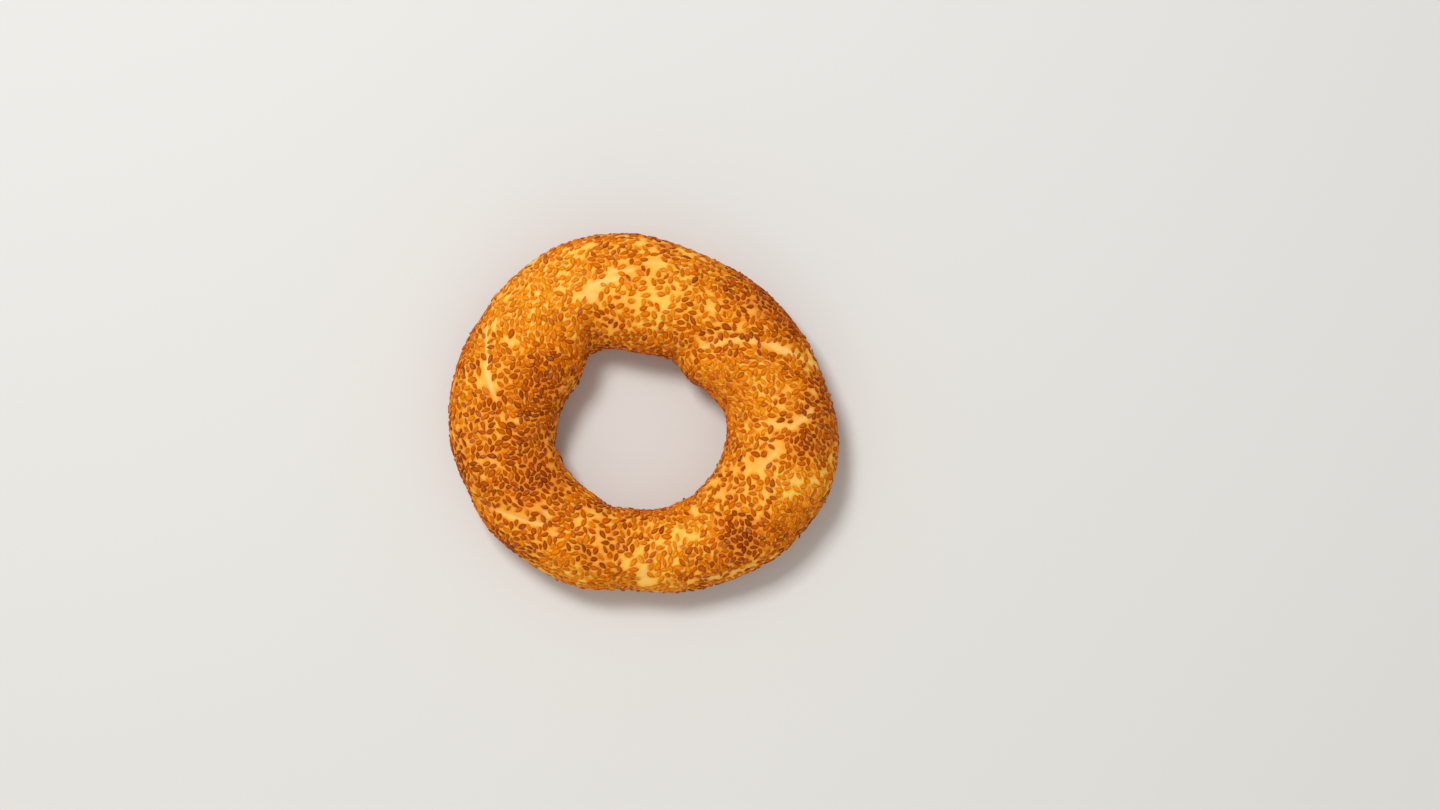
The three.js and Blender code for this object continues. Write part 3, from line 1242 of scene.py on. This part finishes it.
    def slide(self, places: Placing, move: np.ndarray) -> None:
        """Slides seeds over the crust.

        Args:
            places: the seeds' places, which are changed.
            move: how far each one goes, in metres.
        """
        along, around, _ = self.form.ways(places.strand, places.tube)
        aa, ar, rr = (np.sum(p * q, axis=1) for p, q in ((along, along), (along, around), (around, around)))
        ma, mr = np.sum(move * along, axis=1), np.sum(move * around, axis=1)
        det = np.maximum(aa * rr - ar * ar, TINY**2)
        strand = places.strand + (rr * ma - ar * mr) / det
        tube = places.tube + (aa * mr - ar * ma) / det
        places.strand, places.tube = self.form.tidy(strand, tube)

    def uneven(self, random: np.random.Generator, count: int) -> np.ndarray:
        """Draws values around zero that are mostly within one, and cuts off the ones that are too far out."""
        return random.standard_normal(count).clip(-self.furthest_out, self.furthest_out)

    def lay(self, random: np.random.Generator) -> tuple[Placing, np.ndarray, np.ndarray]:
        """Finds a place for each seed, and takes off those that were pushed onto bare dough.

        Args:
            random: the seeded stream of numbers.

        Returns:
            The places, each seed's size, and how far each still reaches into another.
        """
        places = self.scatter(random)
        size = 1.0 + self.size_unevenness * self.uneven(random, len(places.strand))
        overlap = self.push_apart(places, size)
        bare = self.baking.bare(self.form.point(places.strand, places.tube))
        keep = bare < random.random(len(bare))
        return places.only(keep), size[keep], overlap[keep]

    def settle(
        self, random: np.random.Generator, places: Placing, size: np.ndarray, overlap: np.ndarray
    ) -> LaidSeeds:
        """Leans, sizes, lifts and browns the seeds where they lie.

        Args:
            random: the seeded stream of numbers.
            places: where the seeds lie.
            size: each seed's size, 1 being the usual one.
            overlap: how far each one reaches into another.

        Returns:
            The seeds as they lie in the crust.
        """
        points = self.form.point(places.strand, places.tube)
        axis, side, normal = self.axes(places)
        count = len(points)
        loose = random.random(count) < self.loose_share
        most = np.radians(np.where(loose, self.loose_tilt, self.tilt))
        lean = most[:, None] * random.standard_normal((count, 2))
        normal = unit(normal + axis * lean[:, :1] + side * lean[:, 1:])
        axis = unit(axis - normal * np.sum(axis * normal, axis=1, keepdims=True))
        side = np.cross(normal, axis)
        width = size * (1.0 + self.width_unevenness * self.uneven(random, count))
        scale = np.stack([size * self.length, width * self.width, np.full(count, self.thickness)], axis=1)
        above = self.rise + self.rise_unevenness * self.uneven(random, count)
        above = above + np.where(loose, self.loose_rise, 0.0)
        above = above + overlap * self.overlap_lift * (random.random(count) < self.lifted_share)
        middles = points + normal * above[:, None]
        upright = np.stack([axis[:, 2], side[:, 2], normal[:, 2]], axis=1)
        reach = np.sqrt(np.sum((upright * scale) ** 2, axis=1))
        middles[:, 2] = np.maximum(middles[:, 2], reach / 2.0 + self.floor_gap)
        tone = self.baking.toast(points) + self.tone_unevenness * random.standard_normal(count)
        hue = random.random(count) ** self.hue_power
        return LaidSeeds(middles, self.quaternions(axis, side, normal), scale, tone, hue)

    def build(self) -> dict[Toasting, bpy.types.Object]:
        """Lays the coat and makes one piece for each kind of seed.

        Returns:
            The pieces by kind.
        """
        random = np.random.default_rng(self.random_seed)
        seeds = self.settle(random, *self.lay(random))
        edges = [finish.tones[0] for finish in SESAME_FINISHES[1:]]
        kinds = np.searchsorted(edges, seeds.tone, side="right")
        return {
            finish.kind: self.set_out(finish, seeds.only(kinds == number))
            for number, finish in enumerate(SESAME_FINISHES)
        }

    def quaternions(self, axis: np.ndarray, side: np.ndarray, normal: np.ndarray) -> np.ndarray:
        """How each seed is turned.

        Args:
            axis: the way along each seed.
            side: the way across it.
            normal: the way out of its face.

        Returns:
            One quaternion for each, the real part first.
        """
        turns = [Matrix(rows).transposed().to_quaternion() for rows in np.stack([axis, side, normal], axis=1)]
        return np.array([tuple(turn) for turn in turns])

    def set_out(self, finish: SesameFinish, seeds: LaidSeeds) -> bpy.types.Object:
        """Makes one piece of all the seeds of a kind.

        Args:
            finish: the kind's finish.
            seeds: the seeds of that kind.

        Returns:
            The piece.
        """
        count = len(seeds.middles)
        piece = new_piece(f"sesame_{finish.kind.name.lower()}", seeds.middles, [])
        keep_values(piece, LIE, "QUATERNION", "value", seeds.lie)
        keep_values(piece, SIZE, "FLOAT_VECTOR", "vector", seeds.scale)
        keep_values(piece, TONE, "FLOAT", "value", seeds.tone)
        keep_values(piece, HUE, "FLOAT", "value", seeds.hue)
        log.info("%s: %d seeds", piece.name, count)
        return self.coat_tree(finish, count).apply_to(piece)

    def seed_shape(self, shape: ShapeTree) -> bpy.types.Node:
        """Builds one seed in the tree: a flat drop of length, width and thickness one, its tip at +X.

        Args:
            shape: the tree that it is built in.

        Returns:
            The node that gives the seed's mesh, which carries its rim and its own sheet for baking.
        """
        tree = shape.tree
        sides = shape.input("Sides", "NodeSocketInt", self.sides)
        rings = shape.input("Rings", "NodeSocketInt", self.rings)
        taper = shape.input("Tip taper", "NodeSocketFloat", self.tip_taper)
        point = shape.input("End point", "NodeSocketFloat", self.end_point)
        ball = add_node(tree, "GeometryNodeMeshUVSphere", {"Segments": sides, "Rings": rings, "Radius": 0.5})
        place = add_node(tree, "GeometryNodeInputPosition")
        across, through, along = add_node(tree, "ShaderNodeSeparateXYZ", {0: place}).outputs
        flat = add_node(tree, "ShaderNodeCombineXYZ", {0: along, 1: across, 2: 0.0})
        from_middle = add_node(tree, VECTOR_MATHS, {0: flat}, operation="LENGTH").outputs["Value"]
        # Where the rim colour with its painted shade goes, from the seed's middle out.
        limits = {"Value": from_middle, "From Min": self.rim_start, "From Max": self.rim_end}
        rim = add_node(tree, "ShaderNodeMapRange", limits, interpolation_type="SMOOTHSTEP")
        length_share = add_node(tree, MATHS, {0: along, 1: 2.0}, operation="MULTIPLY")
        squared = add_node(tree, MATHS, {0: length_share, 1: length_share}, operation="MULTIPLY")
        narrowings = []
        for share, amount in ((length_share, taper), (squared, point)):
            loss = add_node(tree, MATHS, {0: share, 1: amount}, operation="MULTIPLY")
            narrowings.append(add_node(tree, MATHS, {0: 1.0, 1: loss}, operation="SUBTRACT"))
        narrow = add_node(tree, MATHS, dict(enumerate(narrowings)), operation="MULTIPLY")
        wide, thick = (
            add_node(tree, MATHS, {0: way, 1: narrow}, operation="MULTIPLY") for way in (across, through)
        )
        drop = add_node(tree, "ShaderNodeCombineXYZ", {0: along, 1: wide, 2: thick})
        inputs = {"Geometry": ball.outputs["Mesh"], "Name": RIM_AND_SHADE, "Value": rim}
        mesh = add_node(tree, STORE, inputs, data_type="FLOAT", domain="POINT")
        inputs = {"Geometry": mesh, "Name": BAKE_UV, "Value": ball.outputs["UV Map"]}
        mesh = add_node(tree, STORE, inputs, data_type="FLOAT2", domain="CORNER")
        return add_node(tree, "GeometryNodeSetPosition", {"Geometry": mesh, "Position": drop})

    def own_cell(self, shape: ShapeTree, mesh: bpy.types.Node, count: int) -> bpy.types.Node:
        """Gives every seed its own square of the sheet for baking.

        Args:
            shape: the tree.
            mesh: the node that gives the seeds.
            count: how many there are.

        Returns:
            The node that gives the seeds with their squares.
        """
        tree = shape.tree
        columns = shape.input("Columns of the bake sheet", "NodeSocketInt", math.ceil(math.sqrt(count)))
        number = add_node(tree, READ, {"Name": CELL}, data_type="INT")
        sheet = add_node(tree, READ, {"Name": BAKE_UV}, data_type="FLOAT_VECTOR")
        column = add_node(tree, MATHS, {0: number, 1: columns}, operation="MODULO")
        filled = add_node(tree, MATHS, {0: number, 1: columns}, operation="DIVIDE")
        row = add_node(tree, MATHS, {0: filled}, operation="FLOOR")
        corner = add_node(tree, "ShaderNodeCombineXYZ", {0: column, 1: row, 2: 0.0})
        share = (self.cell_share, self.cell_share, 0.0)
        margin = (self.cell_margin, self.cell_margin, 0.0)
        own = add_node(tree, VECTOR_MATHS, {0: sheet, 1: share}, operation="MULTIPLY")
        placed = add_node(tree, VECTOR_MATHS, {0: corner, 1: own}, operation="ADD")
        inside = add_node(tree, VECTOR_MATHS, {0: placed, 1: margin}, operation="ADD")
        whole = add_node(tree, "ShaderNodeCombineXYZ", {0: columns, 1: columns, 2: 1.0})
        cell = add_node(tree, VECTOR_MATHS, {0: inside, 1: whole}, operation="DIVIDE")
        inputs = {"Geometry": mesh, "Name": BAKE_UV, "Value": cell}
        return add_node(tree, STORE, inputs, data_type="FLOAT2", domain="CORNER")

    def coat_tree(self, finish: SesameFinish, count: int) -> ShapeTree:
        """Builds the node tree that sets the seeds out.

        Args:
            finish: the seeds' finish.
            count: how many seeds there are.

        Returns:
            The tree.
        """
        shape = ShapeTree(f"{finish.kind.name.lower()} sesame coat")
        tree = shape.tree
        uneven = shape.input("Unevenness", "NodeSocketFloat", self.unevenness)
        grain = shape.input("Unevenness size", "NodeSocketFloat", self.unevenness_size)
        hull = shape.input("Hull", "NodeSocketMaterial", finish.build())
        inputs = {
            "Geometry": shape.entry.outputs["Geometry"],
            "Name": CELL,
            "Value": add_node(tree, "GeometryNodeInputIndex"),
        }
        points = add_node(tree, STORE, inputs, data_type="INT", domain="POINT")
        inputs = {
            "Points": points,
            "Instance": self.seed_shape(shape),
            "Rotation": add_node(tree, READ, {"Name": LIE}, data_type="QUATERNION"),
            "Scale": add_node(tree, READ, {"Name": SIZE}, data_type="FLOAT_VECTOR"),
        }
        laid = add_node(tree, "GeometryNodeInstanceOnPoints", inputs)
        mesh = add_node(tree, "GeometryNodeRealizeInstances", {"Geometry": laid})
        place = add_node(tree, "GeometryNodeInputPosition")
        closeness = add_node(tree, MATHS, {0: 1.0, 1: grain}, operation="DIVIDE")
        hills = add_node(tree, "ShaderNodeTexNoise", {"Vector": place, "Scale": closeness}).outputs["Color"]
        centred = add_node(tree, VECTOR_MATHS, {0: hills, 1: (0.5, 0.5, 0.5)}, operation="SUBTRACT")
        shift = add_node(tree, VECTOR_MATHS, {0: centred, "Scale": uneven}, operation="SCALE")
        mesh = add_node(tree, "GeometryNodeSetPosition", {"Geometry": mesh, "Offset": shift})
        mesh = self.own_cell(shape, mesh, count)
        for name in (LIE, SIZE, CELL):
            mesh = add_node(tree, "GeometryNodeRemoveAttribute", {"Geometry": mesh, "Name": name})
        shape.finish(mesh, hull)
        return shape


# The dough.


@dataclass
class Dough:
    """The twisted ring of dough under the seeds, which swelled up between them in the oven."""

    form: RingForm
    baking: Baking
    finish: CrustFinish = field(default_factory=CrustFinish)
    steps_per_crease: int = 104
    tube_steps: int = 152
    tube_bunching: float = 20.0
    swell_height: float = 0.3 * MM
    swell_start: float = 0.05 * MM
    swell_end: float = 0.50 * MM
    # Where the syrup with painted shade round each seed is full and where it has faded out.
    glaze_start: float = 0.05 * MM
    glaze_end: float = 0.45 * MM
    # Where the painted highlight on the dough between the seeds begins and where it is full.
    open_start: float = 0.5 * MM
    open_end: float = 1.5 * MM
    lump_size: float = 8.0 * MM
    lump_height: float = 0.5 * MM
    wrinkle_size: float = 1.3 * MM
    wrinkle_height: float = 0.14 * MM
    floor_gap: float = 0.03 * MM

    # The sizes above that are named inputs of the node tree.
    driven: tuple[str, ...] = (
        "swell_height",
        "swell_start",
        "swell_end",
        "glaze_start",
        "glaze_end",
        "open_start",
        "open_end",
        "lump_size",
        "lump_height",
        "wrinkle_size",
        "wrinkle_height",
        "floor_gap",
    )

    def tube_angles(self) -> np.ndarray:
        """The tube angles of the grid's lines, in degrees, closer together on the crown than underneath."""
        share = np.arange(self.tube_steps) / self.tube_steps
        return share * FULL_TURN + self.tube_bunching * np.cos(share * 2.0 * math.pi)

    def grid(self) -> bpy.types.Object:
        """Makes the bare ring as a grid whose lines follow the creases.

        Returns:
            The piece, with how brown and how pale it is at each point, and its sheet for baking.
        """
        around = self.form.crease_count * self.steps_per_crease
        strand, tube = (
            values.ravel()
            for values in np.meshgrid(
                np.arange(around) / self.steps_per_crease,
                self.tube_angles(),
                indexing="ij",
            )
        )
        points = self.form.point(strand, tube)
        i, j = (v.ravel() for v in np.meshgrid(np.arange(around), np.arange(self.tube_steps), indexing="ij"))
        lap = (j + 1) // self.tube_steps
        shift = lap * self.form.strands * self.steps_per_crease
        above = (j + 1) % self.tube_steps
        a = i * self.tube_steps + j
        b = (i + 1) % around * self.tube_steps + j
        c = (i + 1 + shift) % around * self.tube_steps + above
        d = (i + shift) % around * self.tube_steps + above
        piece = new_piece("dough", points, np.stack([a, b, c, d], axis=1).tolist())
        keep_values(piece, TOAST_AND_LIGHT, "FLOAT", "value", self.baking.toast(points))
        keep_values(piece, PALE, "FLOAT", "value", self.baking.pale(points))
        sheet = piece.data.uv_layers.new(name=BAKE_UV)
        u = np.stack([i, i + 1, i + 1, i], axis=1) / around
        v = np.stack([j, j, j + 1, j + 1], axis=1) / self.tube_steps
        sheet.data.foreach_set("uv", np.stack([u, v], axis=-1).astype(np.float32).ravel())
        return piece

    def swell_tree(self, seeds: dict[Toasting, bpy.types.Object]) -> ShapeTree:
        """Builds the node tree that draws the dough up between the seeds and roughens it.

        Args:
            seeds: the seed pieces by kind.

        Returns:
            The tree.
        """
        shape = ShapeTree("dough swelling between seeds")
        tree = shape.tree
        size = {
            name: shape.input(name.replace("_", " ").capitalize(), "NodeSocketFloat", getattr(self, name))
            for name in self.driven
        }
        crust = shape.input("Crust", "NodeSocketMaterial", self.finish.build())
        coat = add_node(tree, "GeometryNodeJoinGeometry")
        for kind, piece in seeds.items():
            seed = shape.input(f"{kind.name.title()} seeds", "NodeSocketObject", piece)
            info = add_node(tree, "GeometryNodeObjectInfo", {"Object": seed})
            tree.links.new(info.outputs["Geometry"], coat.inputs[0])
        gap = add_node(tree, "GeometryNodeProximity", {0: coat}).outputs["Distance"]
        # Right by the seeds the dough gets syrup with painted shade, and between them a painted highlight.
        steps = (
            ("swell", 0.0, size["swell_height"], "SMOOTHSTEP"),
            ("glaze", 1.0, 0.0, "LINEAR"),
            ("open", 0.0, 1.0, "SMOOTHSTEP"),
        )
        swell, glaze, highlighted = (
            add_node(
                tree,
                "ShaderNodeMapRange",
                {
                    "Value": gap,
                    "From Min": size[f"{step}_start"],
                    "From Max": size[f"{step}_end"],
                    "To Min": near,
                    "To Max": far,
                },
                interpolation_type=curve,
            )
            for step, near, far, curve in steps
        )
        pale = add_node(tree, READ, {"Name": PALE}, data_type="FLOAT")
        covered = add_node(tree, MATHS, {0: 1.0, 1: pale}, operation="SUBTRACT")
        rise = add_node(tree, MATHS, {0: swell, 1: covered}, operation="MULTIPLY")
        place = add_node(tree, "GeometryNodeInputPosition")
        for relief in ("lump", "wrinkle"):
            closeness = add_node(tree, MATHS, {0: 1.0, 1: size[f"{relief}_size"]}, operation="DIVIDE")
            hills = add_node(tree, "ShaderNodeTexNoise", {"Vector": place, "Scale": closeness})
            height = around_middle(tree, hills, size[f"{relief}_height"])
            rise = add_node(tree, MATHS, {0: rise, 1: height}, operation="ADD")
        normal = add_node(tree, "GeometryNodeInputNormal")
        move = add_node(tree, VECTOR_MATHS, {0: normal, "Scale": rise}, operation="SCALE")
        moved = add_node(tree, VECTOR_MATHS, {0: place, 1: move}, operation="ADD")
        x, y, z = add_node(tree, "ShaderNodeSeparateXYZ", {0: moved}).outputs
        level = add_node(tree, MATHS, {0: z, 1: size["floor_gap"]}, operation="MAXIMUM")
        rested = add_node(tree, "ShaderNodeCombineXYZ", {0: x, 1: y, 2: level})
        mesh = shape.entry.outputs["Geometry"]
        # Keeps where the syrup with painted shade and the painted highlight go.
        for name, value in ((GLAZE_AND_SHADE, glaze), (WEB_HIGHLIGHT, highlighted)):
            inputs = {"Geometry": mesh, "Name": name, "Value": value}
            mesh = add_node(tree, STORE, inputs, data_type="FLOAT", domain="POINT")
        mesh = add_node(tree, "GeometryNodeSetPosition", {"Geometry": mesh, "Position": rested})
        shape.finish(mesh, crust)
        return shape

    def build(self, seeds: dict[Toasting, bpy.types.Object]) -> bpy.types.Object:
        """Makes the dough and lets it swell up between the seeds.

        Args:
            seeds: the seed pieces by kind.

        Returns:
            The piece.
        """
        return self.swell_tree(seeds).apply_to(self.grid())


# The stage.


@dataclass(frozen=True)
class AreaLamp:
    """A square soft lamp that shines on the simit's middle."""

    name: str
    place: tuple[float, float, float]
    size: float
    watts: float
    colour: str = "#fffffd"

    def build(self) -> None:
        """Makes the lamp."""
        lamp = bpy.data.lights.new(self.name, "AREA")
        lamp.size = self.size
        lamp.energy = self.watts
        lamp.color = linear_colour(self.colour)[:3]
        piece = bpy.data.objects.new(self.name, lamp)
        piece.location = self.place
        piece.rotation_euler = (-Vector(self.place)).to_track_quat("-Z", "Y").to_euler()
        bpy.context.scene.collection.objects.link(piece)


@dataclass
class Stage:
    """The pale floor, a soft lamp at the upper left, a faint warm one low down, and the camera above."""

    floor_size: float = 6.0
    floor_colour: str = "#d3d2d0"
    floor_roughness: float = 0.85
    sky: str = "#fffffd"
    sky_strength: float = 0.53
    lamps: tuple[AreaLamp, ...] = (
        AreaLamp("window", (-0.38, 0.60, 1.40), 0.42, 17.6),
        AreaLamp("bounce", (0.05, -1.00, 0.45), 1.00, 2.0, "#ffe8cc"),
    )
    view_width: float = 0.540
    middle_height: float = 16.0 * MM
    lens: float = 80.0
    sensor: float = 36.0
    aim: tuple[float, float] = (0.0285, 0.0028)

    def build(self) -> None:
        """Makes the floor, the lights and the camera, and sets how the picture is developed."""
        half = self.floor_size / 2.0
        corners = np.array([(-half, -half, 0.0), (half, -half, 0.0), (half, half, 0.0), (-half, half, 0.0)])
        floor = new_piece("floor", corners, [(0, 1, 2, 3)])
        material, _, shader = start_finish("plain_pale_floor")
        shader.inputs["Base Color"].default_value = linear_colour(self.floor_colour)
        shader.inputs["Roughness"].default_value = self.floor_roughness
        floor.data.materials.append(material)
        world = bpy.data.worlds.new("soft daylight")
        world.use_nodes = True
        background = world.node_tree.nodes["Background"]
        background.inputs["Color"].default_value = linear_colour(self.sky)
        background.inputs["Strength"].default_value = self.sky_strength
        bpy.context.scene.world = world
        for lamp in self.lamps:
            lamp.build()
        camera = bpy.data.cameras.new("camera")
        camera.sensor_width = self.sensor
        camera.lens = self.lens
        piece = bpy.data.objects.new("camera", camera)
        distance = self.view_width * self.lens / self.sensor
        piece.location = (*self.aim, self.middle_height + distance)
        bpy.context.scene.collection.objects.link(piece)
        bpy.context.scene.camera = piece
        bpy.context.scene.view_settings.view_transform = "Standard"


def main() -> None:
    """Builds the coat, the dough and the stage, and reports each piece."""
    logging.basicConfig(level=logging.INFO, format="%(message)s")
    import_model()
    form = RingForm()
    baking = Baking(form)
    seeds = SesameCoat(form, baking).build()
    dough = Dough(form, baking).build(seeds)
    for piece in (dough, *seeds.values()):
        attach(piece, BODY)
        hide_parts(CAD_NODE)
        log.info("%s: %d faces", piece.name, len(piece.data.polygons))
    Stage().build()


if __name__ == "__main__":
    main()
